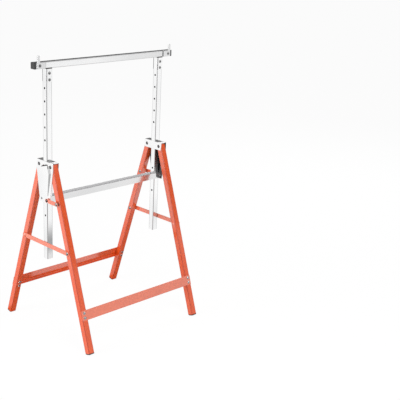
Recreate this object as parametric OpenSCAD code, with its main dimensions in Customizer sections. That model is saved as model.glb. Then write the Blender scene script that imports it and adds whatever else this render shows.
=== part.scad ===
// Folding builders trestle with a height-adjustable beam, in millimetres.
// X runs along the beam, the front is -Y, Z is up and the floor is at 0.
// Each end is drawn at -X, and the other end is that one turned half round Z.

/* [Beam] */
// height of the beam's top in this setting of the posts
beam_top = 1100; // [800:50:1300]
// length of the beam over its end caps
beam_length = 690; // [620:5:900]
// side of the square beam tube
beam_side = 25; // [22:1:32]
// wall of the beam tube
beam_wall = 1.5; // [1.2:0.1:2.5]
// thickness of an end cap's face
cap_face = 7; // [3:0.5:8]

/* [Posts] */
// distance between the axes of the two posts
post_spacing = 560; // [480:10:640]
// side of the square post tube
post_side = 25; // [22:1:26]
// wall of the post tube
post_wall = 2; // [1.5:0.1:3]
// length of a post below its saddle
post_length = 752; // [740:1:770]
// pitch of the five upper height holes, doubled for the three lower ones
hole_pitch = 50; // [40:5:50]
// diameter of a height hole
hole_diameter = 8.4; // [8.2:0.1:10]

/* [Saddles] */
// width of a saddle along the beam
saddle_width = 24; // [22:1:50]
// height of a saddle below the beam
saddle_height = 51; // [45:1:55]
// sheet of a saddle
saddle_sheet = 2; // [1.5:0.1:3]

/* [End stops] */
// distance of a stop's pivot from the beam's end
stop_inset = 22; // [17:1:40]
// width of a stop's upright
stop_width = 12; // [9:0.5:12]
// thickness of a stop
stop_thickness = 3; // [2:0.5:5]
// height of a stop above the beam
stop_rise = 25; // [15:1:40]
// length of a stop's foot along the beam, inwards from its pivot
stop_reach = 27; // [16:1:30]

/* [Head brackets] */
// height of the lock pin above the floor
pin_height = 700; // [690:5:710]
// height of a head's top web above the lock pin
head_rise = 19; // [18:0.5:21]
// sheet of a head bracket
head_sheet = 2; // [1.5:0.1:2.4]
// half the width of the outer plate at its top
plate_top_half = 52; // [49:1:58]
// half the width of the outer plate at its foot
plate_foot_half = 32; // [29:1:38]
// distance of the outer plate's foot below the links
plate_below = 12; // [10:0.5:20]
// half the length of the top web
web_half = 52; // [50:1:60]
// height of the inner flange
flange_height = 33; // [30:1:45]

/* [Lock levers] */
// half the width of the lever pocket at its mouth
pocket_mouth_half = 24; // [22:1:27]
// half the width of the lever pocket at its shoulders
pocket_shoulder_half = 33; // [28:1:36]
// half the width of the lever pocket at its foot
pocket_foot_half = 20; // [16:1:24]
// distance of the lever pocket's shoulders below its mouth
pocket_shoulder_drop = 28; // [20:1:50]
// distance of the lever pocket's foot above the links
pocket_above = 18; // [16:0.5:26]
// slant of the lever pocket's mouth, in degrees
mouth_tilt = 17; // [0:1:18]
// how far the lever pocket stands out at its mouth
pocket_mouth_rise = 7; // [6.6:0.2:9]
// how far the lever pocket stands out at its foot
pocket_foot_rise = 2; // [2:0.1:3]
// sheet of a lock lever
lever_sheet = 1.2; // [1:0.1:1.4]
// tilt of a lever from locked to drawn, in degrees
lever_tilt = 2.6; // [2:0.1:2.7]
// diameter of a lock pin
pin_diameter = 7; // [6:0.2:7.2]

/* [Crossbar] */
// height of the crossbar channel
crossbar_height = 25; // [20:1:28]
// half the width of the crossbar channel
crossbar_half = 15; // [14.8:0.2:16]
// sheet of the crossbar
crossbar_sheet = 1.5; // [1:0.1:1.6]
// half the width over the crossbar's end tabs
tab_half = 26.2; // [25:0.2:26.4]

/* [Legs] */
// side of the square leg tube
leg_side = 25; // [23:0.5:25]
// wall of the leg tube
leg_wall = 1.5; // [1.2:0.1:2.5]
// distance of a leg's pivot in front of or behind the post axis
pivot_offset = 36; // [36:0.5:38]
// height of the leg pivots above the lock pin
pivot_rise = 2; // [1:0.5:2]
// distance between the leg axes at the floor
foot_spread = 532; // [500:2:560]
// length of a leg above its pivot, with its top plug
leg_above = 10; // [9:0.5:10]
// thickness of the plug face at a leg's top
top_plug_face = 2; // [1:0.5:3]
// thickness of the plug face at a leg's foot
foot_plug_face = 4; // [3:0.5:6]
// depth of a plug inside a leg
leg_plug = 14; // [10:1:30]
// how much of a foot's corner is cut flat on the floor
foot_cut = 2.5; // [1.5:0.5:3.5]

/* [Braces] */
// distance of a brace's middle from the leg pivot along the leg
brace_drop = 584; // [540:2:620]
// height of a brace
brace_height = 40; // [34:1:48]
// depth of a brace's lower flange
brace_flange = 14; // [8:1:20]
// sheet of a brace
brace_sheet = 2; // [1.5:0.1:3]
// distance between the two bolts at a brace's end
brace_bolt_pitch = 19; // [16:0.5:22]

/* [Stays and links] */
// height of the stays above the floor
stay_height = 382; // [360:2:420]
// distance of the links below the lock pin
link_below = 134; // [130:1:136]
// distance of a link's stud or a crossbar rivet from the post axis
stud_offset = 20.5; // [20:0.1:21]
// width of a stay bar
stay_width = 18; // [16:1:22]
// width of a link bar
link_width = 16; // [15:0.5:18]
// thickness of the stay and link bars
bar_thickness = 3; // [2:0.2:3.4]
// gap between a leg and its stay
stay_gap = 0.3; // [0.3:0.1:1]
// gap between a leg and its link
link_gap = 6.3; // [6.3:0.1:7]
// direction in which a stay's hook opens, in degrees below level
stay_hook_slope = 43; // [42:0.5:44]
// direction in which a link's hook opens, in degrees below level
link_hook_slope = 66; // [64:0.5:68]
// metal left round a hook's slot
hook_wall = 5.5; // [5:0.5:9]

/* [Fasteners] */
// diameter of the pivot rivets and studs
rivet_diameter = 8; // [7:0.5:8]
// diameter of a rivet or stud head
rivet_head = 14; // [12:0.5:14]
// height of a rivet head
rivet_head_height = 3; // [2:0.25:3.5]
// diameter of a crossbar rivet
small_rivet = 5; // [4:0.5:5]
// diameter of a crossbar rivet's head
small_rivet_head = 9; // [8:0.5:9.5]
// height of a crossbar rivet's head
small_rivet_height = 2; // [1.5:0.25:2.5]
// diameter of the bolts in the braces and saddles
bolt_diameter = 6; // [5:0.5:7]
// diameter of a bolt's round head
bolt_head = 12; // [10:0.5:13]
// height of a bolt's round head
bolt_head_height = 3.5; // [2.5:0.25:4]
// size across the flats of a nut
nut_flats = 10; // [9:0.5:12]
// height of a nut
nut_height = 5; // [4:0.5:6]

/* [Hidden] */
$fn = 48;
// running fit of a pivot, on the radius
pivot_fit = 0.05;
// clearance between tubes and the sheet round them
side_gap = 0.5;
// clearance of moving sheet
sheet_gap = 0.4;
// outside radius of the tube corners
tube_corner = 2;
// depth by which a cutter passes its surface
cut_over = 1;
// distance of the first height hole below the beam's top
first_hole = 100;
// shares of the pitch from the first height hole to each of them
hole_shares = [0, 1, 2, 3, 4, 6, 8, 10];
// shares of a saddle's height at which its bolts sit
saddle_bolt_shares = [0.35, 0.84];
// share of the beam's side in the height of a stop's foot
stop_foot_share = 0.84;
// shares of the outer plate's height and the inner flange's height at their shoulders
plate_shoulder_share = 0.82;
flange_shoulder_share = 0.75;
// share of the web's length over the inner flange's foot
flange_foot_share = 0.94;
// share of the lever's head in the width of the pocket's mouth
head_share = 0.82;
// share of a rivet's inner head height, against the outer one
inner_head_share = 0.8;
// angle between two neighbouring faces of a nut, in degrees
nut_turn = 60;

post_x = post_spacing / 2;
bay = max(leg_side, post_side) / 2;
leg_face = post_x + leg_side / 2;
plate_in = post_x + bay + side_gap;
plate_out = plate_in + head_sheet;
flange_out = post_x - bay - side_gap;
flange_in = flange_out - head_sheet;
head_top = pin_height + head_rise;
pivot_height = pin_height + pivot_rise;
link_height = pin_height - link_below;
plate_foot = link_height - plate_below;
pocket_mouth = pin_height;
pocket_shoulder = pocket_mouth - pocket_shoulder_drop;
pocket_foot = link_height + pocket_above;
beam_bottom = beam_top - beam_side;
post_top = beam_bottom - saddle_sheet;
post_bottom = post_top - post_length;
leg_angle = atan((foot_spread / 2 - pivot_offset) / pivot_height);
leg_total = (pivot_height - leg_side / 2 * sin(leg_angle) + foot_cut) / cos(leg_angle);
leg_end = leg_total - foot_plug_face;
stay_drop = (pivot_height - stay_height) / cos(leg_angle);
link_drop = (pivot_height - link_height) / cos(leg_angle);
stay_y = pivot_offset + stay_drop * sin(leg_angle);
link_y = pivot_offset + link_drop * sin(leg_angle);
stay_in = leg_face + stay_gap;
stay_out = stay_in + bar_thickness;
link_in = leg_face + link_gap;
link_out = link_in + bar_thickness;
crossbar_foot = link_height - crossbar_height / 2;
stop_x = beam_length / 2 - stop_inset;
stop_z = beam_bottom + beam_side / 2;
stop_front = beam_side / 2 + stay_gap;
cap_plug = stop_inset - cap_face - bolt_diameter / 2 - cut_over;
brace_half = post_x + leg_side / 2 - side_gap;
head_half = pocket_mouth_half * head_share;
lever_foot = pocket_foot + head_sheet + sheet_gap;
lever_head = pin_height + pin_diameter / 2 + cut_over;
lever_in = plate_in;
pin_reach = (pin_height - lever_foot) * tan(lever_tilt);
hook_slot = rivet_diameter + 2 * sheet_gap;

orange = "#e4582a";
zinc = "#c9ccd0";
black = "#1c1c1e";
dark = "#4a4b4e";

// Helpers: extrusions along X and Y, round corners, tubes, nuts and bolts.
module along_x(length) {
    rotate([90, 0, 90]) linear_extrude(length) children();
}

module along_y(length) {
    translate([0, length / 2, 0]) rotate([90, 0, 0]) linear_extrude(length) children();
}

module rounded_square(side) {
    square([side - 2 * tube_corner, side], center = true);
    square([side, side - 2 * tube_corner], center = true);
    for (x = [-1, 1], y = [-1, 1])
        translate([x * (side / 2 - tube_corner), y * (side / 2 - tube_corner)]) circle(tube_corner);
}

module square_tube(side, wall, length) {
    linear_extrude(length) difference() {
        rounded_square(side);
        square(side - 2 * wall, center = true);
    }
}

// A dome of a given width and height, standing on z = 0.
module dome(width, height) {
    ball = (width * width / 4 + height * height) / (2 * height);
    intersection() {
        translate([0, 0, height - ball]) sphere(ball);
        cylinder(d = width, h = height);
    }
}

module hexagon(flats) {
    circle(d = flats / cos(nut_turn / 2), $fn = 6);
}

// A bolt whose head stands on z = 0 and whose shank runs down to -length.
module bolt(length) {
    dome(bolt_head, bolt_head_height);
    translate([0, 0, -length]) cylinder(d = bolt_diameter, h = length);
}

module nut() {
    linear_extrude(nut_height) difference() {
        hexagon(nut_flats);
        circle(d = bolt_diameter);
    }
}

module half_turn() {
    rotate([0, 0, 180]) children();
}

// Head bracket: outer plate with the lever pocket, top web and inner flange.
module plate_outline() {
    shoulder = plate_foot + (head_top - plate_foot) * plate_shoulder_share;
    polygon([[-plate_top_half, head_top], [plate_top_half, head_top], [plate_top_half, shoulder],
        [plate_foot_half, plate_foot], [-plate_foot_half, plate_foot], [-plate_top_half, shoulder]]);
}

module flange_outline() {
    shoulder = head_top - flange_height * (1 - flange_shoulder_share);
    foot = head_top - flange_height;
    foot_half = web_half * flange_foot_share;
    polygon([[-web_half, head_top], [web_half, head_top], [web_half, shoulder],
        [foot_half, foot], [-foot_half, foot], [-web_half, shoulder]]);
}

// Outline of the lever pocket under its slanting mouth, drawn in by a margin.
module pocket_outline(margin, top) {
    mouth = pocket_mouth_half - margin;
    shoulder = pocket_shoulder_half - margin;
    foot = pocket_foot_half - margin;
    lift = mouth * tan(mouth_tilt);
    polygon([[-mouth, top + lift], [mouth, top - lift], [shoulder, pocket_shoulder],
        [foot, pocket_foot + margin], [-foot, pocket_foot + margin], [-shoulder, pocket_shoulder]]);
}

// Wedge between the plane x = base and the sloping pocket face, moved in by a margin.
module pocket_wedge(base, margin) {
    slope = (pocket_mouth_rise - pocket_foot_rise) / (pocket_mouth - pocket_foot);
    top_rise = pocket_foot_rise + slope * (head_top - pocket_foot);
    along_y(2 * web_half) polygon([[-base, pocket_foot],
        [-plate_out - pocket_foot_rise + margin, pocket_foot],
        [-plate_out - top_rise + margin, head_top], [-base, head_top]]);
}

// Half-moon opening over the pocket's mouth, or the lever's head with a margin.
module half_moon(half, crown) {
    rise = crown - pocket_mouth;
    ball = (half * half + rise * rise) / (2 * rise);
    translate([0, pocket_mouth]) rotate(-mouth_tilt) intersection() {
        translate([0, rise - ball]) circle(ball);
        translate([-half, -3 * cut_over]) square([2 * half, rise + 4 * cut_over]);
    }
}

module pivot_bores(diameter) {
    for (y = [-1, 1]) translate([0, y * pivot_offset, pivot_height]) rotate([0, 90, 0])
        cylinder(d = diameter, h = 2 * plate_out, center = true);
}

module head_bracket() {
    color(zinc) difference() {
        union() {
            translate([-plate_out, 0, 0]) along_x(head_sheet) plate_outline();
            translate([-flange_out, 0, 0]) along_x(head_sheet) flange_outline();
            translate([-plate_out, -web_half, head_top - head_sheet])
                cube([plate_out - flange_in, 2 * web_half, head_sheet]);
            intersection() {
                translate([-2 * plate_out, 0, 0]) along_x(2 * plate_out) pocket_outline(0, pocket_mouth);
                pocket_wedge(plate_in, 0);
            }
        }
        intersection() {
            translate([-2 * plate_out, 0, 0]) along_x(2 * plate_out)
                pocket_outline(head_sheet, pocket_mouth + cut_over);
            pocket_wedge(flange_out, head_sheet);
        }
        translate([-plate_out - cut_over, 0, 0]) along_x(head_sheet + 2 * cut_over)
            half_moon(head_half + 2 * cut_over, lever_head + 2 * cut_over);
        translate([-post_x, 0, head_top]) cube([post_side + 2 * side_gap, post_side + 2 * side_gap,
            2 * head_sheet + cut_over], center = true);
        pivot_bores(rivet_diameter);
        for (y = [-1, 1]) translate([-plate_in, y * stud_offset, link_height]) rotate([0, 90, 0])
            cylinder(d = small_rivet, h = 2 * head_sheet + cut_over, center = true);
    }
}

module left_head_bracket() { head_bracket(); }

module right_head_bracket() { half_turn() head_bracket(); }

// Crossbar: open-topped channel round the posts, with tabs turned out at its ends.
module crossbar_end() {
    translate([-plate_in, -tab_half, crossbar_foot]) difference() {
        cube([crossbar_sheet, 2 * tab_half, crossbar_height]);
        translate([-cut_over, tab_half - crossbar_half + crossbar_sheet, -cut_over])
            cube([crossbar_sheet + 2 * cut_over, 2 * (crossbar_half - crossbar_sheet),
                crossbar_height + 2 * cut_over]);
        for (y = [-1, 1]) translate([0, tab_half + y * stud_offset, link_height - crossbar_foot])
            rotate([0, 90, 0]) cylinder(d = small_rivet, h = 2 * crossbar_sheet + cut_over, center = true);
    }
}

module crossbar() {
    hole = post_side + 2 * side_gap;
    color(zinc) {
        difference() {
            translate([-plate_in, -crossbar_half, crossbar_foot])
                cube([2 * plate_in, 2 * crossbar_half, crossbar_height]);
            translate([-plate_in - cut_over, -crossbar_half + crossbar_sheet, crossbar_foot + crossbar_sheet])
                cube([2 * plate_in + 2 * cut_over, 2 * (crossbar_half - crossbar_sheet), crossbar_height]);
            for (x = [-1, 1]) translate([x * post_x, 0, crossbar_foot])
                cube([hole, hole, 2 * crossbar_sheet + cut_over], center = true);
        }
        crossbar_end();
        half_turn() crossbar_end();
    }
}

// Rivets and studs that hold the crossbar to the plates.
module crossbar_rivet() {
    translate([-plate_in + crossbar_sheet, stud_offset, link_height]) rotate([0, -90, 0]) {
        cylinder(d = small_rivet, h = crossbar_sheet + head_sheet);
        translate([0, 0, crossbar_sheet + head_sheet]) dome(small_rivet_head, small_rivet_height);
        rotate([180, 0, 0]) dome(small_rivet_head, small_rivet_height * inner_head_share);
    }
}

module crossbar_rivets() {
    color(dark) {
        crossbar_rivet();
        half_turn() crossbar_rivet();
    }
}

module link_stud() {
    reach = link_out + sheet_gap - plate_out;
    translate([-plate_in + crossbar_sheet, -stud_offset, link_height]) rotate([0, -90, 0]) {
        cylinder(d = small_rivet, h = crossbar_sheet + head_sheet);
        rotate([180, 0, 0]) dome(small_rivet_head, small_rivet_height * inner_head_share);
        translate([0, 0, crossbar_sheet + head_sheet]) {
            cylinder(d = rivet_diameter, h = reach);
            translate([0, 0, reach]) dome(rivet_head, rivet_head_height);
        }
    }
}

module link_studs() {
    color(zinc) {
        link_stud();
        half_turn() link_stud();
    }
}

module leg_pivot_rivet() {
    rotate([0, -90, 0]) {
        translate([0, 0, flange_in]) cylinder(d = rivet_diameter, h = plate_out - flange_in);
        translate([0, 0, plate_out]) dome(rivet_head, rivet_head_height);
        translate([0, 0, flange_in]) rotate([180, 0, 0])
            dome(rivet_head, rivet_head_height * inner_head_share);
    }
}

module leg_pivot_rivets() {
    color(dark) for (y = [-1, 1]) translate([0, y * pivot_offset, pivot_height]) {
        leg_pivot_rivet();
        half_turn() leg_pivot_rivet();
    }
}

// Frame of the front legs: z runs along the legs from the pivots, y = 0 is their axis.
module front_frame() {
    translate([0, -pivot_offset, pivot_height]) rotate([-leg_angle, 0, 0]) children();
}

module side_bore(drop, diameter) {
    translate([0, 0, -drop]) rotate([0, 90, 0]) cylinder(d = diameter, h = 2 * leg_side, center = true);
}

// Leg at -X in the front frame, with a link bore where the link is riveted to it.
module leg(linked) {
    color(orange) translate([-post_x, 0, 0]) difference() {
        translate([0, 0, -leg_end]) square_tube(leg_side, leg_wall, leg_end + leg_above - top_plug_face);
        side_bore(0, rivet_diameter + 2 * pivot_fit);
        side_bore(stay_drop, rivet_diameter);
        if (linked) side_bore(link_drop, rivet_diameter);
        for (z = [-1, 1]) translate([0, 0, -brace_drop + z * brace_bolt_pitch / 2]) rotate([90, 0, 0])
            cylinder(d = bolt_diameter, h = 2 * leg_side, center = true);
    }
}

module front_left_leg() { front_frame() leg(true); }

module front_right_leg() { front_frame() mirror([1, 0, 0]) leg(false); }

module rear_left_leg() { half_turn() front_right_leg(); }

module rear_right_leg() { half_turn() front_left_leg(); }

// Brace: web on the legs' outer faces and a lower flange between the legs.
module front_brace() {
    foot = -brace_drop - brace_height / 2;
    flange_half = post_x - leg_side / 2 - side_gap;
    color(orange) front_frame() difference() {
        union() {
            translate([-brace_half, -leg_side / 2 - brace_sheet, foot])
                cube([2 * brace_half, brace_sheet, brace_height]);
            translate([-flange_half, -leg_side / 2 - brace_sheet, foot])
                cube([2 * flange_half, brace_flange, brace_sheet]);
        }
        for (x = [-1, 1], z = [-1, 1])
            translate([x * post_x, -leg_side / 2, -brace_drop + z * brace_bolt_pitch / 2])
                rotate([90, 0, 0]) cylinder(d = bolt_diameter, h = 2 * brace_sheet + cut_over, center = true);
    }
}

module rear_brace() { half_turn() front_brace(); }

module at_brace_bolts() {
    front_frame() for (x = [-1, 1], z = [-1, 1])
        translate([x * post_x, 0, -brace_drop + z * brace_bolt_pitch / 2]) rotate([90, 0, 0]) children();
}

module front_brace_bolts() {
    reach = leg_side / 2 + brace_sheet;
    color(dark) at_brace_bolts() translate([0, 0, reach]) bolt(reach + leg_side / 2 + nut_height);
}

module front_brace_nuts() {
    color(zinc) at_brace_bolts() translate([0, 0, -leg_side / 2 - nut_height]) nut();
}

module rear_brace_bolts() { half_turn() front_brace_bolts(); }

module rear_brace_nuts() { half_turn() front_brace_nuts(); }

// Plastic plugs: feet cut flat on the floor, and the plugs in the legs' tops.
module foot() {
    inside = leg_side - 2 * leg_wall;
    color(black) difference() {
        front_frame() translate([-post_x, 0, -leg_total]) {
            linear_extrude(foot_plug_face) rounded_square(leg_side);
            translate([0, 0, foot_plug_face]) linear_extrude(leg_plug) square(inside, center = true);
        }
        translate([-post_spacing, -foot_spread, -leg_side]) cube([2 * post_spacing, 2 * foot_spread, leg_side]);
    }
}

module front_left_foot() { foot(); }

module front_right_foot() { mirror([1, 0, 0]) foot(); }

module rear_left_foot() { half_turn() front_right_foot(); }

module rear_right_foot() { half_turn() front_left_foot(); }

module front_leg_plugs() {
    inside = leg_side - 2 * leg_wall;
    plug = leg_above - top_plug_face - rivet_diameter / 2 - cut_over;
    color(black) front_frame() for (x = [-1, 1]) translate([x * post_x, 0, leg_above - top_plug_face]) {
        linear_extrude(top_plug_face) rounded_square(leg_side);
        translate([0, 0, -plug]) linear_extrude(plug) square(inside, center = true);
    }
}

module rear_leg_plugs() { half_turn() front_leg_plugs(); }

// Shouldered rivets for the bars, and the studs that their hooks drop over.
module bar_rivet(drop, gap) {
    front_frame() translate([-post_x, 0, -drop]) rotate([0, -90, 0]) {
        translate([0, 0, -leg_side / 2]) cylinder(d = rivet_diameter, h = leg_side);
        translate([0, 0, -leg_side / 2]) rotate([180, 0, 0])
            dome(rivet_head, rivet_head_height * inner_head_share);
        translate([0, 0, leg_side / 2]) {
            cylinder(d = rivet_head, h = gap - stay_gap / 2);
            cylinder(d = rivet_diameter, h = gap + bar_thickness + stay_gap);
            translate([0, 0, gap + bar_thickness + stay_gap]) dome(rivet_head, rivet_head_height);
        }
    }
}

module left_stay_rivet() { color(zinc) bar_rivet(stay_drop, stay_gap); }

module left_link_rivet() { color(zinc) bar_rivet(link_drop, link_gap); }

module right_stay_rivet() { half_turn() left_stay_rivet(); }

module right_link_rivet() { half_turn() left_link_rivet(); }

module right_stay_stud() { color(zinc) mirror([1, 0, 0]) bar_rivet(stay_drop, stay_gap); }

module left_stay_stud() { half_turn() right_stay_stud(); }

// Bar from its rivet at the origin to a hook, in the plane of Y and Z.
module hook_bar(reach, width, slope) {
    tip = reach + hook_slot / 2 + hook_wall - width / 2;
    difference() {
        union() {
            circle(d = width);
            translate([0, -width / 2]) square([tip, width]);
            translate([tip, 0]) circle(d = width);
        }
        circle(r = rivet_diameter / 2 + pivot_fit);
        translate([reach, 0]) {
            circle(d = hook_slot);
            rotate(slope) translate([-2 * width, -hook_slot / 2]) square([2 * width, hook_slot]);
        }
    }
}

module left_stay() {
    color(orange) translate([-stay_out, -stay_y, stay_height]) along_x(bar_thickness)
        hook_bar(2 * stay_y, stay_width, stay_hook_slope);
}

module right_stay() { half_turn() left_stay(); }

module left_link() {
    color(orange) translate([-link_out, -link_y, link_height]) along_x(bar_thickness)
        hook_bar(link_y - stud_offset, link_width, link_hook_slope);
}

module right_link() { half_turn() left_link(); }

// Lock lever in its pocket, drawn back, and the pin riveted in its head.
module drawn() {
    translate([-lever_in, 0, lever_foot]) rotate([0, -lever_tilt, 0])
        translate([lever_in, 0, -lever_foot]) children();
}

module lock_lever() {
    color(black) drawn() difference() {
        translate([-lever_in - lever_sheet, 0, 0]) {
            along_x(lever_sheet) pocket_outline(head_sheet + sheet_gap, pocket_mouth - cut_over);
            along_x(lever_sheet) half_moon(head_half, lever_head);
        }
        translate([-lever_in, 0, pin_height]) rotate([0, 90, 0])
            cylinder(d = pin_diameter / 2, h = 2 * lever_sheet + cut_over, center = true);
    }
}

module left_lock_lever() { lock_lever(); }

module right_lock_lever() { half_turn() lock_lever(); }

module lock_pin() {
    color(zinc) drawn() translate([-lever_in, 0, pin_height]) rotate([0, 90, 0]) {
        cylinder(d = pin_diameter, h = pin_reach);
        translate([0, 0, -lever_sheet]) cylinder(d = pin_diameter / 2, h = lever_sheet);
    }
}

module left_lock_pin() { lock_pin(); }

module right_lock_pin() { half_turn() lock_pin(); }

// Posts with their height holes, the beam, its saddles, caps and stops.
module left_post() {
    color(zinc) translate([-post_x, 0, 0]) difference() {
        translate([0, 0, post_bottom]) square_tube(post_side, post_wall, post_length);
        for (share = hole_shares) translate([0, 0, beam_top - first_hole - share * hole_pitch])
            rotate([0, 90, 0]) cylinder(d = hole_diameter, h = 2 * post_side, center = true);
        for (share = saddle_bolt_shares) translate([0, 0, beam_bottom - share * saddle_height])
            rotate([90, 0, 0]) cylinder(d = bolt_diameter, h = 2 * post_side, center = true);
    }
}

module right_post() { mirror([1, 0, 0]) left_post(); }

module top_beam() {
    tube = beam_length - 2 * cap_face;
    color(zinc) difference() {
        translate([-tube / 2, 0, stop_z]) rotate([0, 90, 0]) square_tube(beam_side, beam_wall, tube);
        for (x = [-1, 1]) translate([x * stop_x, 0, stop_z]) rotate([90, 0, 0])
            cylinder(d = bolt_diameter, h = 2 * beam_side, center = true);
    }
}

module left_saddle() {
    depth = post_side + 2 * saddle_sheet;
    color(zinc) translate([-post_x, 0, beam_bottom]) difference() {
        translate([-saddle_width / 2, -depth / 2, -saddle_height])
            cube([saddle_width, depth, saddle_height]);
        translate([-saddle_width, -post_side / 2, -saddle_sheet - saddle_height])
            cube([2 * saddle_width, post_side, saddle_height]);
        for (share = saddle_bolt_shares) translate([0, 0, -share * saddle_height])
            rotate([90, 0, 0]) cylinder(d = bolt_diameter, h = 2 * depth, center = true);
    }
}

module right_saddle() { mirror([1, 0, 0]) left_saddle(); }

module at_saddle_bolts() {
    for (x = [-1, 1], share = saddle_bolt_shares)
        translate([x * post_x, 0, beam_bottom - share * saddle_height]) rotate([90, 0, 0]) children();
}

module saddle_bolts() {
    reach = post_side / 2 + saddle_sheet;
    color(zinc) at_saddle_bolts() translate([0, 0, reach]) bolt(2 * reach + nut_height);
}

module saddle_nuts() {
    color(zinc) at_saddle_bolts() translate([0, 0, -post_side / 2 - saddle_sheet - nut_height]) nut();
}

module left_end_cap() {
    tube = beam_length - 2 * cap_face;
    color(black) translate([-tube / 2, 0, stop_z]) rotate([0, -90, 0]) {
        linear_extrude(cap_face) rounded_square(beam_side);
        translate([0, 0, -cap_plug]) linear_extrude(cap_plug) square(beam_side - 2 * beam_wall, center = true);
    }
}

module right_end_cap() { mirror([1, 0, 0]) left_end_cap(); }

module at_stop_bolts() {
    for (x = [-1, 1]) translate([x * stop_x, 0, stop_z]) rotate([90, 0, 0]) children();
}

module stop_bolts() {
    reach = stop_front + stop_thickness + stay_gap;
    color(zinc) at_stop_bolts() translate([0, 0, reach]) bolt(reach + beam_side / 2 + nut_height);
}

module stop_nuts() {
    color(zinc) at_stop_bolts() translate([0, 0, -beam_side / 2 - nut_height]) nut();
}

module left_end_stop() {
    rise = beam_side / 2 + stop_rise;
    foot = beam_side * stop_foot_share;
    color(zinc) translate([-stop_x, -stop_front, stop_z]) rotate([90, 0, 0]) linear_extrude(stop_thickness)
        difference() {
            union() {
                translate([-stop_width, -foot / 2]) square([stop_width + stop_reach, foot]);
                translate([-stop_width, 0]) square([stop_width, rise]);
            }
            circle(r = bolt_diameter / 2 + pivot_fit);
        }
}

module right_end_stop() { mirror([1, 0, 0]) left_end_stop(); }

left_head_bracket();
right_head_bracket();
crossbar();
crossbar_rivets();
link_studs();
leg_pivot_rivets();
front_left_leg();
front_right_leg();
front_brace();
front_brace_bolts();
front_brace_nuts();
front_left_foot();
front_right_foot();
front_leg_plugs();
left_stay_rivet();
left_link_rivet();
right_stay_stud();
rear_left_leg();
rear_right_leg();
rear_brace();
rear_brace_bolts();
rear_brace_nuts();
rear_left_foot();
rear_right_foot();
rear_leg_plugs();
right_stay_rivet();
right_link_rivet();
left_stay_stud();
left_stay();
right_stay();
left_link();
right_link();
left_lock_lever();
right_lock_lever();
left_lock_pin();
right_lock_pin();
left_post();
right_post();
top_beam();
left_saddle();
right_saddle();
saddle_bolts();
saddle_nuts();
left_end_cap();
right_end_cap();
stop_bolts();
stop_nuts();
left_end_stop();
right_end_stop();
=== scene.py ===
import math

import bmesh
import bpy
from mathutils import Matrix, Vector


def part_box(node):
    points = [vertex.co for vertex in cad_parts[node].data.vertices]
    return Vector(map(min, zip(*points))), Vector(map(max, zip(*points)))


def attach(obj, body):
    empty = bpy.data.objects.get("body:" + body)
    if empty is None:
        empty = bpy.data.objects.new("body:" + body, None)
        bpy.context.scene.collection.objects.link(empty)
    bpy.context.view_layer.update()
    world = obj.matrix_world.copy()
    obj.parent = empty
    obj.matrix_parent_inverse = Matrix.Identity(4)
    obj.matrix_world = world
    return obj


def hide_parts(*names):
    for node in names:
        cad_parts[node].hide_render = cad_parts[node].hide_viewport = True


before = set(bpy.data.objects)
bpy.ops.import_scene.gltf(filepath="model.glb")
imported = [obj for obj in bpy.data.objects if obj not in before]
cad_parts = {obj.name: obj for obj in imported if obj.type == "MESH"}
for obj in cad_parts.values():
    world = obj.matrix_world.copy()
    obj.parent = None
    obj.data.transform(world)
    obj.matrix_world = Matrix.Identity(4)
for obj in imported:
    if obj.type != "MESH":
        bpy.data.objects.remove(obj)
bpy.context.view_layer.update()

# The camera stands left of the trestle's front, a little above the beam, and is held slightly askew.
# Its place, heading and lens are those of a camera fitted to forty corners of the object.
photo_side = 400
focal_pixels = 895.4
sensor_width = 36.0
camera_place = Vector((-2.25986, -2.71505, 1.62767))
heading, dip, roll = (math.radians(angle) for angle in (46.2, 17.43, 2.66))
ahead = Vector((math.sin(heading) * math.cos(dip), math.cos(heading) * math.cos(dip), -math.sin(dip)))
level = Vector((math.cos(heading), -math.sin(heading), 0.0))
upright = level.cross(ahead)
camera_right = level * math.cos(roll) + upright * math.sin(roll)
camera_up = upright * math.cos(roll) - level * math.sin(roll)
camera = bpy.data.objects.new("camera", bpy.data.cameras.new("camera"))
camera.data.sensor_width = sensor_width
camera.data.lens = focal_pixels * sensor_width / photo_side
turn = Matrix((camera_right, camera_up, -ahead)).transposed().to_4x4()
camera.matrix_world = Matrix.Translation(camera_place) @ turn
bpy.context.scene.collection.objects.link(camera)
bpy.context.scene.camera = camera


# The four legs are 25 mm square steel tubes, powder coated orange and bored for their rivets and bolts.
# The coat has a fine orange peel, drifts a little in tone, and is dusty and scuffed low down.
# It is painted darker along the tubes' rounded corners: painted shade.
class Value:
    """A socket's output. Arithmetic on it adds Math nodes to its tree."""

    def __init__(self, nodes, socket):
        self.nodes, self.socket = nodes, socket

    def maths(self, operation, first, second=0.0):
        return self.nodes.node("ShaderNodeMath", {"operation": operation}, {0: first, 1: second})

    def __add__(self, other):
        return self.maths("ADD", self, other)

    def __sub__(self, other):
        return self.maths("SUBTRACT", self, other)

    def __rsub__(self, other):
        return self.maths("SUBTRACT", other, self)

    def __mul__(self, other):
        return self.maths("MULTIPLY", self, other)

    def __truediv__(self, other):
        return self.maths("DIVIDE", self, other)

    def __abs__(self):
        return self.maths("ABSOLUTE", self)

    def sine(self):
        return self.maths("SINE", self)

    def lesser(self, other):
        return self.maths("MINIMUM", self, other)

    def greater(self, other):
        return self.maths("MAXIMUM", self, other)

    __radd__, __rmul__ = __add__, __mul__


class Nodes:
    """A node tree. node() adds one node: its settings first, then the values or links of its sockets."""

    def __init__(self, tree):
        self.tree = tree

    def node(self, kind, settings, sockets, output=0):
        made = self.tree.nodes.new(kind)
        for key, value in settings.items():
            setattr(made, key, value)
        for key, value in sockets.items():
            self.plug(made.inputs[key], value)
        return Value(self, made.outputs[output]) if made.outputs else made

    def plug(self, socket, value):
        if isinstance(value, Value):
            self.tree.links.new(value.socket, socket)
        else:
            socket.default_value = value


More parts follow.
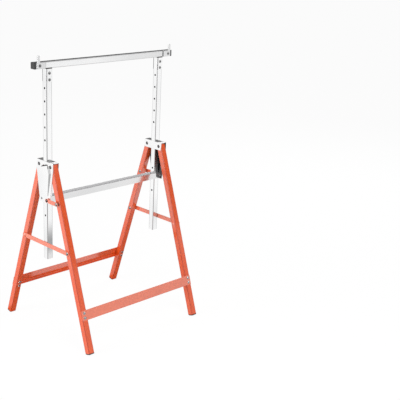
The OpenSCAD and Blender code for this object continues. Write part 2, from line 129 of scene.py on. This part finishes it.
class Finish(Nodes):
    """A material on a Principled shader. Values that are the same all over go on its own sockets."""

    def __init__(self, name, constants):
        self.material = bpy.data.materials.new(name)
        self.material.use_nodes = True
        super().__init__(self.material.node_tree)
        self.shader = self.tree.nodes["Principled BSDF"]
        self.place = self.node("ShaderNodeTexCoord", {}, {}, "Object")
        self.wire(constants)

    def wire(self, sockets):
        for key, value in sockets.items():
            self.plug(self.shader.inputs[key], value)

    def axis(self, name):
        return self.node("ShaderNodeSeparateXYZ", {}, {0: self.place}, name)

    def noise(self, scale, detail=2.0, stretch=(1.0, 1.0, 1.0)):
        place = self.node("ShaderNodeMapping", {}, {"Vector": self.place, "Scale": stretch})
        return self.node("ShaderNodeTexNoise", {}, {"Vector": place, "Scale": scale, "Detail": detail})

    def step(self, value, low, high):
        """A mask that rises smoothly from 0 at low to 1 at high. low may be the larger of the two."""
        return self.node("ShaderNodeMapRange", {"interpolation_type": "SMOOTHSTEP"},
                         {"Value": value, "From Min": low, "From Max": high})

    def mix(self, share, first, second):
        return self.node("ShaderNodeMix", {"data_type": "RGBA"}, {0: share, 6: first, 7: second}, 2)

    def bump(self, height, depth):
        return self.node("ShaderNodeBump", {}, {"Height": height, "Distance": depth})


def show(finish, *nodes):
    """Gives CAD nodes that stay as they are their finish."""
    for node in nodes:
        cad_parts[node].material_slots[0].material = finish.material


def powder_coat(name, dust=0.0, haze=0.0, dark=None):
    """Orange powder coat under a hard gloss, scuffed near the floor. dust is how far the gloss dulls
    low down, haze is the share of a painted sheen all over, a pale reflection painted into the colour,
    and dark gives a mask of painted shade, where the coat is painted darker."""
    deep_orange, light_orange = (0.62, 0.064, 0.005, 1.0), (0.74, 0.092, 0.009, 1.0)
    grain_orange, shaded_orange = (0.48, 0.036, 0.003, 1.0), (0.26, 0.010, 0.004, 1.0)
    scuffed, painted_sheen = (0.42, 0.16, 0.10, 1.0), (0.72, 0.36, 0.27, 1.0)
    grain_share, scuff_share = 0.22, 0.5
    scuff_heights, dust_heights, scratch_edges = (0.16, 0.02), (0.44, 0.22), (0.60, 0.72)
    gloss, gloss_scuffed_off = 0.85, 0.8
    roughness, tone_roughness, scuff_roughness = 0.30, 0.08, 0.4
    coat = Finish(name, {"Specular IOR Level": 0.4, "Coat Roughness": 0.12, "Coat IOR": 1.95})
    tone = coat.noise(scale=9.0, detail=3.0)
    grain = coat.noise(scale=260.0)
    peel = coat.noise(scale=620.0, detail=1.0)
    scratches = coat.step(coat.noise(scale=140.0, detail=5.0), *scratch_edges)
    rub = scratches * coat.step(coat.axis("Z"), *scuff_heights) * scuff_share
    dusty = coat.step(coat.axis("Z"), *dust_heights) * dust
    colour = coat.mix(tone, deep_orange, light_orange)
    colour = coat.mix(grain * grain_share, colour, grain_orange)
    colour = coat.mix(rub, colour, scuffed)
    # haze mixes in a painted sheen, a pale reflection painted into the colour.
    if haze:
        colour = coat.mix(haze, colour, painted_sheen)
    # dark mixes in painted shade: a darker orange wherever its mask is set.
    if dark:
        colour = coat.mix(dark(coat), colour, shaded_orange)
    coat.wire({"Base Color": colour,
               "Roughness": roughness + tone * tone_roughness + rub * scuff_roughness,
               "Coat Weight": gloss - rub * gloss_scuffed_off - dusty,
               "Normal": coat.bump(peel, depth=0.00012)})
    return coat


leg_x, pivot_y, pivot_z, leg_slope = 0.280, 0.036, 0.702, 0.32764
corner_start, corner_full = 0.0090, 0.0110
leg_corner_shade = 0.6


def tube_corners(coat):
    """A mask of painted shade on the legs' rounded corners, found from the distances to a leg's middle
    line.
    """
    across = abs(abs(coat.axis("X")) - leg_x)
    along = abs(abs(coat.axis("Y")) - pivot_y - (pivot_z - coat.axis("Z")) * leg_slope)
    square_on = along * math.cos(math.atan(leg_slope))
    return coat.step(across.lesser(square_on), corner_start, corner_full) * leg_corner_shade


leg_coat = powder_coat("dusty_powder_coat", dust=0.5, dark=tube_corners)
show(leg_coat, "front_left_leg", "front_right_leg", "rear_left_leg", "rear_right_leg")


# A brace of folded angle ties each pair of legs low down, its web across the legs' outer faces.
# It is 2 mm sheet bent to a small radius and coated with the legs. The front one has a painted sheen, a
# pale reflection painted into its colour.
sheet_merge = 1e-5
flat_angle = math.radians(1.0)
sharp_angle = math.radians(35.0)
fold_share = 0.15
widest_sheet_edge = 0.0045
rounding_steps = 3


def reach_from(edge, face):
    """How far a face reaches inwards from one of its edges."""
    loop = next(loop for loop in edge.link_loops if loop.face == face)
    start = loop.vert.co
    inward = face.normal.cross(loop.link_loop_next.vert.co - start).normalized()
    return max((v.co - start).dot(inward) for v in face.verts)


def softened(node, body, finish, edge, fold=None):
    """Stands for a CAD node. Its edges are rounded by edge, and its folds by the two radii of fold,
    for the inside and the outside of a bend."""
    inside, outside = fold or (edge, edge)
    made = bmesh.new()
    made.from_mesh(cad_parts[node].data)
    bmesh.ops.remove_doubles(made, verts=made.verts, dist=sheet_merge)
    bmesh.ops.dissolve_limit(made, angle_limit=flat_angle, verts=made.verts, edges=made.edges)
    weight = made.edges.layers.float.new("bevel_weight_edge")
    widest = max(edge, outside)
    for line in made.edges:
        if len(line.link_faces) != 2 or line.calc_face_angle(0.0) < sharp_angle:
            continue
        radius = edge
        reach = min(reach_from(line, face) for face in line.link_faces)
        if reach > widest_sheet_edge:
            radius = max(edge, min(outside if line.is_convex else inside, fold_share * reach))
        line[weight] = radius / widest
    mesh = bpy.data.meshes.new(node + "_softened")
    made.to_mesh(mesh)
    made.free()
    if "custom_normal" in mesh.attributes:
        mesh.attributes.remove(mesh.attributes["custom_normal"])
    mesh.shade_smooth()
    mesh.materials.clear()
    mesh.materials.append(finish.material)
    piece = bpy.data.objects.new(node + "_softened", mesh)
    bpy.context.scene.collection.objects.link(piece)
    rounding = piece.modifiers.new("rounding", "BEVEL")
    rounding.limit_method = "WEIGHT"
    rounding.width = widest
    rounding.segments = rounding_steps
    rounding.use_clamp_overlap = False
    piece.modifiers.new("normals", "WEIGHTED_NORMAL")
    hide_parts(node)
    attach(piece, body)


sheen_coat = powder_coat("orange_powder_coat", haze=0.2)
clean_coat = powder_coat("clean_powder_coat")
for side, coat in (("front", sheen_coat), ("rear", clean_coat)):
    softened(side + "_brace", side + "_frame", coat, edge=0.0005, fold=(0.002, 0.004))


# Each brace is held by two bolts at each leg. Their heads are low domes and their nuts stand behind.
# Both are zinc plated steel: the heads are painted grey, a painted shade that stands for the dark
# reflections in their domes, and the hexagon nuts are bright.
nut_edge = 0.0005


def plated(name, colour, roughness):
    """Plated or blackened steel, finely mottled and pitted."""
    deep_share, mottle_roughness = 0.72, 0.14
    metal = Finish(name, {"Metallic": 1.0})
    mottle = metal.noise(scale=420.0, detail=3.0)
    pits = metal.noise(scale=900.0, detail=1.0)
    deep = tuple(deep_share * part for part in colour)
    metal.wire({"Base Color": metal.mix(mottle, deep + (1.0,), colour + (1.0,)),
                "Roughness": roughness + mottle * mottle_roughness,
                "Normal": metal.bump(pits, depth=0.00003)})
    return metal


black_plate = plated("blackened_steel", colour=(0.075, 0.072, 0.072), roughness=0.22)
grey_plate = plated("grey_zinc_plate", colour=(0.42, 0.42, 0.42), roughness=0.18)
bright_plate = plated("bright_zinc_plate", colour=(0.80, 0.80, 0.79), roughness=0.14)
show(grey_plate, "front_brace_bolts", "rear_brace_bolts")
for side in ("front", "rear"):
    softened(side + "_brace_nuts", side + "_frame", bright_plate, nut_edge)


# Black plastic plugs close both ends of every leg. The feet are cut flat for the floor.
# They are moulded with a fine grain and are driven into the tubes.
def moulded_plastic(name, paler=None):
    """Black grained plastic. The mask after the name marks where it is a paler grey."""
    black, dusty_black = (0.006, 0.006, 0.007, 1.0), (0.018, 0.018, 0.019, 1.0)
    pale_black = (0.036, 0.036, 0.036, 1.0)
    roughness, grain_roughness = 0.46, 0.2
    plastic = Finish(name, {"Specular IOR Level": 0.25})
    grain = plastic.noise(scale=1100.0)
    dust = plastic.noise(scale=60.0, detail=4.0)
    colour = plastic.mix(dust, black, dusty_black)
    if paler:
        colour = plastic.mix(paler(plastic), colour, pale_black)
    plastic.wire({"Base Color": colour, "Roughness": roughness + grain * grain_roughness,
                  "Normal": plastic.bump(grain, depth=0.00008)})
    return plastic


black_plastic = moulded_plastic("black_moulded_plastic")
for side in ("front", "rear"):
    softened(side + "_left_foot", side + "_frame", black_plastic, edge=0.0008)
    softened(side + "_right_foot", side + "_frame", black_plastic, edge=0.0008)
    softened(side + "_leg_plugs", side + "_frame", black_plastic, edge=0.0004)


# A stay and a short link of flat bar hold the legs apart at each end. Each turns on a rivet at one leg.
# They are 3 mm steel with a hooked end, sheared and coated, with the front brace's painted sheen.
for end in ("left", "right"):
    softened(end + "_stay", end + "_stay", sheen_coat, edge=0.0005)
    softened(end + "_link", end + "_link", sheen_coat, edge=0.0005)


# Rivets and shouldered studs carry the stays, the links, the crossbar and the legs' pivots.
# The pivots' rivets and the links' studs are blackened steel, the stays' studs are coated with the legs
# under the front brace's painted sheen, and the others are zinc plate painted dark grey, a painted shade
# that stands for the dark reflections in their domes.
dark_plate = plated("dark_zinc_plate", colour=(0.22, 0.22, 0.22), roughness=0.16)
show(black_plate, "leg_pivot_rivets", "link_studs")
show(dark_plate, "left_stay_rivet", "right_stay_rivet", "left_link_rivet", "right_link_rivet",
     "crossbar_rivets")
show(sheen_coat, "left_stay_stud", "right_stay_stud")


# A head bracket at each end is folded from 2 mm galvanised sheet: a tall outer plate with a pressed
# pocket, a top web that the post slides through, and a short inner flange. Painted shade lies in the
# crease round the pocket, more on one side, on the web in front of the post, and on the inside of the
# plate.
def galvanised(name, shade_and_grime=None, streak=(1.0, 1.0, 1.0), matt=None):
    """Bright zinc with faint spangles, drawn out by streak. The mask given after the name darkens the
    zinc, mostly as painted shade and in places as grime, and matt gives one of pale chalky zinc."""
    grey_zinc, white_zinc = (0.89, 0.895, 0.90, 1.0), (0.99, 0.99, 0.99, 1.0)
    chalk, shade_and_grime_colour = (0.80, 0.80, 0.81, 1.0), (0.075, 0.075, 0.078, 1.0)
    spangle_scale, drift_edges = 220.0, (0.35, 0.65)
    flake_share, streak_share, drift_share = 0.1, 0.3, 0.6
    roughness, flake_roughness, streak_roughness = 0.10, 0.03, 0.06
    chalk_roughness, darkened_roughness = 0.4, 0.05
    zinc = Finish(name, {"Metallic": 1.0})
    spangle = zinc.node("ShaderNodeTexVoronoi", {},
                        {"Vector": zinc.place, "Scale": spangle_scale}, "Color")
    flake = zinc.node("ShaderNodeSeparateColor", {}, {0: spangle}, 0)
    drawn = zinc.noise(scale=40.0, detail=3.0, stretch=streak)
    drift = zinc.step(zinc.noise(scale=5.0, detail=1.0), *drift_edges)
    tone = flake * flake_share + drawn * streak_share + drift * drift_share
    colour = zinc.mix(tone, grey_zinc, white_zinc)
    rough = roughness + flake * flake_roughness + drawn * streak_roughness
    if matt:
        chalky = matt(zinc)
        colour = zinc.mix(chalky, colour, chalk)
        rough = rough + chalky * chalk_roughness
        zinc.wire({"Metallic": 1.0 - chalky})
    # The mask darkens the zinc: mostly painted shade, and grime in places.
    if shade_and_grime:
        darkened = shade_and_grime(zinc)
        colour = zinc.mix(darkened, colour, shade_and_grime_colour)
        rough = rough + darkened * darkened_roughness
    zinc.wire({"Base Color": colour, "Roughness": rough, "Normal": zinc.bump(drawn, depth=0.00001)})
    return zinc


head_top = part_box("right_head_bracket")[1][2]
plate_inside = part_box("crossbar")[1][0]
pocket_foot, pocket_foot_half = 0.584, 0.020
pocket_shoulder, pocket_shoulder_half = 0.672, 0.033
pocket_slope = (pocket_shoulder_half - pocket_foot_half) / (pocket_shoulder - pocket_foot)
crease_half = 0.0018
crease_foot = (pocket_foot - 0.004, pocket_foot + 0.004)
crease_top = (pocket_shoulder + 0.012, pocket_shoulder - 0.002)
shady_side = (-0.001, 0.001)
web_skin = (head_top - 0.0010, head_top - 0.0001)
plate_back_from = (plate_inside - 0.003, plate_inside - 0.002)
plate_back_to = (plate_inside + 0.0006, plate_inside)
plate_front = (plate_inside + 0.0012, plate_inside + 0.0018)
shade_from_post, shade_from_lip, chalk_to_lip = (-0.006, -0.014), (-0.038, -0.028), (-0.028, -0.036)
web_shade, web_speckle, plate_inside_shade = 0.7, 0.1, 0.95
crease_shade, shady_crease_shade = 0.15, 0.15


def top_of_web(zinc):
    return zinc.step(zinc.axis("Z"), *web_skin)


def shaded_head(zinc):
    """Painted shade on the web in front of the post, inside the plate, and in the pocket's crease, more
    on its shady side, with a faint random speckle over the web's top.
    """
    across, along, height = abs(zinc.axis("X")), abs(zinc.axis("Y")), zinc.axis("Z")
    before_post = (zinc.step(zinc.axis("Y"), *shade_from_post)
                   * zinc.step(zinc.axis("Y"), *shade_from_lip))
    web = top_of_web(zinc) * (zinc.noise(scale=30.0) * web_speckle + before_post * web_shade)
    inside = zinc.step(across, *plate_back_from) * zinc.step(across, *plate_back_to) * plate_inside_shade
    side = along - (height - pocket_foot) * pocket_slope - pocket_foot_half
    crease = (zinc.step(abs(side), crease_half, crease_half / 3) * zinc.step(height, *crease_foot)
              * zinc.step(height, *crease_top) * zinc.step(across, *plate_front))
    shady = crease_shade + zinc.step(zinc.axis("X") * zinc.axis("Y"), *shady_side) * shady_crease_shade
    return web.greater(inside).greater(crease * shady)


def chalky_web(zinc):
    """The front lip of the web, where the zinc has gone pale and matt."""
    return top_of_web(zinc) * zinc.step(zinc.axis("Y"), *chalk_to_lip)


head_zinc = galvanised("galvanised_head", shaded_head, matt=chalky_web)
for end in ("left", "right"):
    softened(end + "_head_bracket", "head", head_zinc, edge=0.0004, fold=(0.0004, 0.0015))


# The crossbar is a galvanised channel of 1.5 mm sheet between the heads, open at the top.
# The posts pass through it, and its end tabs are riveted to the heads' plates. The tabs and the inside
# low down are painted dark: painted shade.
# Inside, where water stands, the zinc has gone pale and matt.
channel_low, channel_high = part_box("crossbar")
channel_half, channel_sheet = 0.015, 0.0015
wall_inside = channel_half - channel_sheet
tab_inside = channel_high[0] - channel_sheet
inner_faces = (wall_inside + 0.0006, wall_inside + 0.0002)
above_base = (channel_low[2] + 0.0008, channel_low[2] + 0.0013)
tab_skin = (tab_inside - 0.0015, tab_inside - 0.0003)
low_shade_heights = (channel_high[2] - 0.005, channel_high[2] - 0.010)
tab_shade, low_shade, channel_grime = 0.85, 0.45, 0.2


def chalky_inside(zinc):
    return zinc.step(abs(zinc.axis("Y")), *inner_faces) * zinc.step(zinc.axis("Z"), *above_base)


def shaded_channel(zinc):
    """Painted shade on the tabs and low inside the channel, and a thin dulling all over."""
    tabs = zinc.step(abs(zinc.axis("X")), *tab_skin) * tab_shade
    low_inside = zinc.step(zinc.axis("Z"), *low_shade_heights) * low_shade
    return tabs.greater(low_inside * chalky_inside(zinc)).greater(channel_grime)


crossbar_zinc = galvanised("galvanised_channel", shaded_channel, streak=(0.06, 1.0, 1.0),
                           matt=chalky_inside)
softened("crossbar", "head", crossbar_zinc, edge=0.0002)


# A lock lever of thin black spring sheet lies in each head's pocket, with its round head above the
# pocket. Its black is partly painted shade: it stands for the shade in the pocket and in the slot above
# it. A blackened pin in the head enters a hole of the post.
def oiled_spring_and_shade(name):
    black, hazy_black = (0.006, 0.006, 0.007, 1.0), (0.018, 0.018, 0.018, 1.0)
    roughness, haze_roughness = 0.46, 0.2
    steel = Finish(name, {"Metallic": 0.7})
    haze = steel.noise(scale=55.0, detail=4.0)
    mill_scale = steel.noise(scale=500.0)
    steel.wire({"Base Color": steel.mix(haze, black, hazy_black),
                "Roughness": roughness + haze * haze_roughness,
                "Normal": steel.bump(mill_scale, depth=0.00003)})
    return steel


spring_steel = oiled_spring_and_shade("black_spring_steel")
for end in ("left", "right"):
    softened(end + "_lock_lever", end + "_lever", spring_steel, edge=0.0003)
show(black_plate, "left_lock_pin", "right_lock_pin")


# Two galvanised square posts slide in the heads. Each has eight holes for the lock pin through both
# sides. The tube's rounded corners and its inside are painted darker than its faces, and a band over
# the foot is painted darker, more on the left post than on the right: all of it painted shade.
post_low, post_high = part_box("right_post")
post_x = (post_low[0] + post_high[0]) / 2
post_half = post_high[1]
post_foot = post_low[2]
inside_faces = (post_half - 0.0003, post_half - 0.0007)
tip_heights = (post_foot + 0.01, post_foot + 0.06)
foot_shade_heights = (post_foot + 0.17, post_foot + 0.07)
front_or_rear = (-0.001, 0.001)
post_corner_shade, post_inside_shade = 0.6, 0.97
right_foot_shade, more_shade_on_left = 0.10, 0.56
side_face_share, tip_share = 0.15, 0.3


def shaded_post(zinc):
    """Painted shade: dark corners and inside, and a darker band over the foot, mostly on its front and
    rear faces.
    """
    across, along, height = abs(abs(zinc.axis("X")) - post_x), abs(zinc.axis("Y")), zinc.axis("Z")
    corner = zinc.step(across.lesser(along), corner_start, corner_full) * post_corner_shade
    inside = zinc.step(across.greater(along), *inside_faces) * post_inside_shade
    past_tip = tip_share + zinc.step(height, *tip_heights) * (1.0 - tip_share)
    band = zinc.step(height, *foot_shade_heights) * past_tip
    face = side_face_share + zinc.step(along - across, *front_or_rear) * (1.0 - side_face_share)
    shadier = right_foot_shade + zinc.step(zinc.axis("X"), post_x, -post_x) * more_shade_on_left
    return corner.greater(band * face * shadier).greater(inside)


post_zinc = galvanised("galvanised_post", shaded_post, streak=(1.0, 1.0, 0.05))
show(post_zinc, "left_post", "right_post")


# A saddle of folded galvanised sheet joins the beam to each post, and two bolts with domed heads clamp
# it to the post. Its sheared edges are painted darker than its faces: painted shade.
saddle_low, saddle_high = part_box("right_saddle")
saddle_half = saddle_high[0] - post_x
sheared_edge = (saddle_half - 0.0016, saddle_half - 0.0006)
saddle_edge_shade = 0.95


# Painted shade along the saddle's sheared edges.
def shaded_saddle(zinc):
    across = abs(abs(zinc.axis("X")) - post_x)
    return zinc.step(across, *sheared_edge) * saddle_edge_shade


saddle_zinc = galvanised("galvanised_saddle", shaded_saddle)
for end in ("left", "right"):
    softened(end + "_saddle", "mast", saddle_zinc, edge=0.0003, fold=(0.0004, 0.0015))
# The saddle bolts' zinc is painted dark grey: painted shade for the dark reflections in their domes.
show(dark_plate, "saddle_bolts")
softened("saddle_nuts", "mast", bright_plate, nut_edge)


# Each saddle is welded to the beam's underside all the way round. The bead is a dark scaly ridge,
# with a ripple for every pulse of the weld.
weld_inset = 0.002
corner_points, loop_points, ring_points = 4, 128, 10
ripple_share = 0.14


def weld_loops(name, finish, sizes):
    """One mesh with a loop of bead on each post. sizes gives the tree's inputs, in metres."""
    weld = Nodes(bpy.data.node_groups.new(name, "GeometryNodeTree"))
    sockets = {key: weld.tree.interface.new_socket(key, in_out="INPUT", socket_type="NodeSocketFloat")
               for key in sizes}
    weld.tree.interface.new_socket("Geometry", in_out="OUTPUT", socket_type="NodeSocketGeometry")
    given = {key: weld.node("NodeGroupInput", {}, {}, key) for key in sizes}
    loop = weld.node("GeometryNodeCurvePrimitiveQuadrilateral", {},
                     {"Width": given["Width"], "Height": given["Depth"]})
    loop = weld.node("GeometryNodeFilletCurve", {"mode": "POLY"},
                     {"Curve": loop, "Count": corner_points, "Radius": given["Bead"]})
    loop = weld.node("GeometryNodeResampleCurve", {"mode": "COUNT"},
                     {"Curve": loop, "Count": loop_points})
    along = weld.node("GeometryNodeSplineParameter", {}, {}, "Length")
    ripple = (along * math.tau / given["Pulse"]).sine() * ripple_share
    loop = weld.node("GeometryNodeSetCurveRadius", {}, {"Curve": loop, "Radius": 1.0 + ripple})
    ring = weld.node("GeometryNodeCurvePrimitiveCircle", {},
                     {"Resolution": ring_points, "Radius": given["Bead"]})
    bead = weld.node("GeometryNodeCurveToMesh", {}, {"Curve": loop, "Profile Curve": ring})
    first = weld.node("ShaderNodeCombineXYZ", {}, {0: given["Spacing"] * -0.5, 2: given["Height"]})
    apart = weld.node("ShaderNodeCombineXYZ", {}, {0: given["Spacing"]})
    posts = weld.node("GeometryNodeMeshLine", {}, {"Count": 2, "Start Location": first, "Offset": apart})
    beads = weld.node("GeometryNodeInstanceOnPoints", {}, {"Points": posts, "Instance": bead})
    beads = weld.node("GeometryNodeRealizeInstances", {}, {0: beads})
    beads = weld.node("GeometryNodeSetMaterial", {}, {"Geometry": beads, "Material": finish.material})
    weld.node("NodeGroupOutput", {}, {"Geometry": beads})
    piece = bpy.data.objects.new(name, bpy.data.meshes.new(name))
    bpy.context.scene.collection.objects.link(piece)
    grown = piece.modifiers.new(name, "NODES")
    grown.node_group = weld.tree
    for key, size in sizes.items():
        grown[sockets[key].identifier] = size
    mesh = bpy.data.meshes.new_from_object(piece.evaluated_get(bpy.context.evaluated_depsgraph_get()))
    piece.modifiers.remove(grown)
    piece.data = mesh
    mesh.shade_smooth()
    return piece


weld_scale = plated("weld_scale", colour=(0.075, 0.072, 0.070), roughness=0.40)
weld_beads = weld_loops("saddle_weld_beads", weld_scale, {
    "Width": saddle_high[0] - saddle_low[0], "Depth": saddle_high[1] - saddle_low[1] - weld_inset,
    "Bead": 0.0021, "Pulse": 0.0026, "Spacing": 2 * post_x, "Height": saddle_high[2]})
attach(weld_beads, "mast")


# The beam is a galvanised square tube. Its top is painted dark, a painted reflection, it is painted
# greyer towards one end, and its rounded corners are painted darker than its faces: painted shade.
beam_low, beam_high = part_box("top_beam")
beam_centre = (beam_low[2] + beam_high[2]) / 2
beam_skin = (beam_high[2] - 0.0012, beam_high[2] - 0.0002)
shaded_end_span = (beam_low[0] / 2, beam_high[0])
top_shade, beam_corner_shade, end_shade = 0.7, 0.4, 0.2


# Painted dark reflection along the top, painted shade on the corners and towards one end.
def shaded_beam(zinc):
    top = zinc.step(zinc.axis("Z"), *beam_skin) * top_shade
    across = abs(zinc.axis("Z") - beam_centre)
    corner = zinc.step(across.lesser(abs(zinc.axis("Y"))), corner_start, corner_full) * beam_corner_shade
    greyer = zinc.step(zinc.axis("X"), *shaded_end_span) * end_shade
    return top.greater(corner).greater(greyer)


beam_zinc = galvanised("galvanised_beam", shaded_beam, streak=(0.05, 1.0, 1.0))
show(beam_zinc, "top_beam")


# Black plastic caps close the beam's ends. They are moulded like the feet and pressed into the tube,
# and their outer faces are a paler grey.
cap_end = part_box("right_end_cap")[1][0]
cap_skin = (cap_end - 0.0012, cap_end - 0.0002)


def pale_end_faces(plastic):
    return plastic.step(abs(plastic.axis("X")), *cap_skin)


cap_plastic = moulded_plastic("rubbed_moulded_plastic", pale_end_faces)
for end in ("left", "right"):
    softened(end + "_end_cap", "mast", cap_plastic, edge=0.0008)


# A stop of galvanised flat steel turns on a bolt at each end of the beam and stands up past its top.
# It has dulled a little, its foot lies along the beam, and the sheared end of the foot is painted dark:
# painted shade.
stop_foot_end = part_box("right_end_stop")[0][0]
foot_end_skin = (stop_foot_end + 0.0022, stop_foot_end + 0.0008)
foot_end_shade, stop_grime = 0.75, 0.2


# Painted shade on the sheared end of the foot, over a little dulling all over.
def shaded_foot_end(zinc):
    return (zinc.step(abs(zinc.axis("X")), *foot_end_skin) * foot_end_shade).greater(stop_grime)


stop_zinc = galvanised("galvanised_stop", shaded_foot_end)
for end in ("left", "right"):
    softened(end + "_end_stop", end + "_stop", stop_zinc, edge=0.0005)
# The stop bolts' zinc is painted dark grey: painted shade for the dark reflections in their domes.
show(dark_plate, "stop_bolts")
softened("stop_nuts", "mast", bright_plate, nut_edge)


# The studio is a pale floor that keeps a soft shadow, a white sky, and wide lamps at front, left and
# rear. Camera, glossy and transmission rays see a white background. Grey flags outside the view and on
# the floor, seen only in what the object reflects, give the metal and the gloss coat their dark sides.
white_share_of_floor = 0.94
sky_light, sky_white = 0.45, 1.0
floor_half = 20.0
lamp_target = Vector((0.0, 0.0, 0.5))
curtain_steps = 16
floor_flag_height = 0.0005


def rays_of_background(nodes):
    kinds = ("Is Camera Ray", "Is Glossy Ray", "Is Transmission Ray")
    seen, glossy, passed = (nodes.node("ShaderNodeLightPath", {}, {}, kind) for kind in kinds)
    return seen.greater(glossy).greater(passed)


def stage_paint(name, surface):
    """A material whose shader is made by surface(nodes)."""
    paint = bpy.data.materials.new(name)
    paint.use_nodes = True
    paint.node_tree.nodes.clear()
    nodes = Nodes(paint.node_tree)
    nodes.node("ShaderNodeOutputMaterial", {}, {"Surface": surface(nodes)})
    return paint


def stage_sheet(name, corners, faces, paint):
    mesh = bpy.data.meshes.new(name)
    mesh.from_pydata(corners, [], faces)
    mesh.materials.append(paint)
    made = bpy.data.objects.new(name, mesh)
    bpy.context.scene.collection.objects.link(made)
    return made


def pale_floor(nodes):
    matt = nodes.node("ShaderNodeBsdfDiffuse", {}, {"Color": (0.9, 0.9, 0.9, 1.0)})
    glow = nodes.node("ShaderNodeEmission", {}, {"Strength": 1.0})
    share = rays_of_background(nodes) * white_share_of_floor
    return nodes.node("ShaderNodeMixShader", {}, {0: share, 1: matt, 2: glow})


floor_corners = [(-floor_half, -floor_half, 0.0), (floor_half, -floor_half, 0.0),
                 (floor_half, floor_half, 0.0), (-floor_half, floor_half, 0.0)]
stage_sheet("floor", floor_corners, [(0, 1, 2, 3)], stage_paint("pale_floor", pale_floor))

world = bpy.data.worlds.new("studio")
bpy.context.scene.world = world
world.use_nodes = True
sky = Nodes(world.node_tree)
brightness = sky.node("ShaderNodeMapRange", {},
                      {"Value": rays_of_background(sky), "To Min": sky_light, "To Max": sky_white})
backdrop = world.node_tree.nodes["Background"]
sky.plug(backdrop.inputs["Color"], (1.0, 1.0, 1.0, 1.0))
sky.plug(backdrop.inputs["Strength"], brightness)


def lamp(name, place, size, power):
    data = bpy.data.lights.new(name, "AREA")
    data.size = size
    data.energy = power
    made = bpy.data.objects.new(name, data)
    made.location = place
    made.rotation_euler = (lamp_target - Vector(place)).to_track_quat("-Z", "Y").to_euler()
    bpy.context.scene.collection.objects.link(made)


lamp("front_lamp", place=(-0.6, -2.4, 2.6), size=1.6, power=60.0)
lamp("left_lamp", place=(-3.0, 0.5, 1.4), size=1.8, power=70.0)
lamp("rear_lamp", place=(3.0, 0.7, 2.4), size=1.6, power=45.0)


def flag(name, grey, corners, faces):
    """A grey sheet that only the object's reflections show."""
    def glow(nodes):
        return nodes.node("ShaderNodeEmission", {}, {"Color": (grey, grey, grey, 1.0)})
    made = stage_sheet(name, corners, faces, stage_paint(name, glow))
    made.visible_camera = made.visible_diffuse = made.visible_transmission = made.visible_shadow = False


def curtain(name, grey, bearings, distance, heights):
    """A flag bent round the object between two bearings, in degrees from +Y towards +X."""
    corners, faces = [], []
    for step in range(curtain_steps + 1):
        bearing = math.radians(bearings[0] + (bearings[1] - bearings[0]) * step / curtain_steps)
        for height in heights:
            corners.append((distance * math.sin(bearing), distance * math.cos(bearing), height))
        if step:
            last = 2 * step
            faces.append((last - 2, last, last + 1, last - 1))
    flag(name, grey, corners, faces)


curtain("camera_flag", grey=0.65, bearings=(190.0, 262.0), distance=1.3, heights=(0.0, 2.2))
curtain("front_flag", grey=0.10, bearings=(128.0, 163.0), distance=4.0, heights=(0.85, 1.75))
curtain("rear_flag", grey=0.14, bearings=(15.0, 65.0), distance=8.0, heights=(1.3, 3.5))
# The floor flag is a painted shadow: it stands for the object's shadow on the floor in its reflections.
left_strip = [(-0.394, 0.30), (-0.214, 0.30), (0.370, -0.42), (0.190, -0.42)]
right_strip = [(0.166, 0.30), (0.346, 0.30), (0.670, -0.10), (0.490, -0.10)]
strip_corners = [corner + (floor_flag_height,) for corner in left_strip + right_strip]
flag("floor_shadow_flag", grey=0.10, corners=strip_corners, faces=[(3, 2, 1, 0), (7, 6, 5, 4)])

bpy.context.scene.view_settings.view_transform = "Standard"
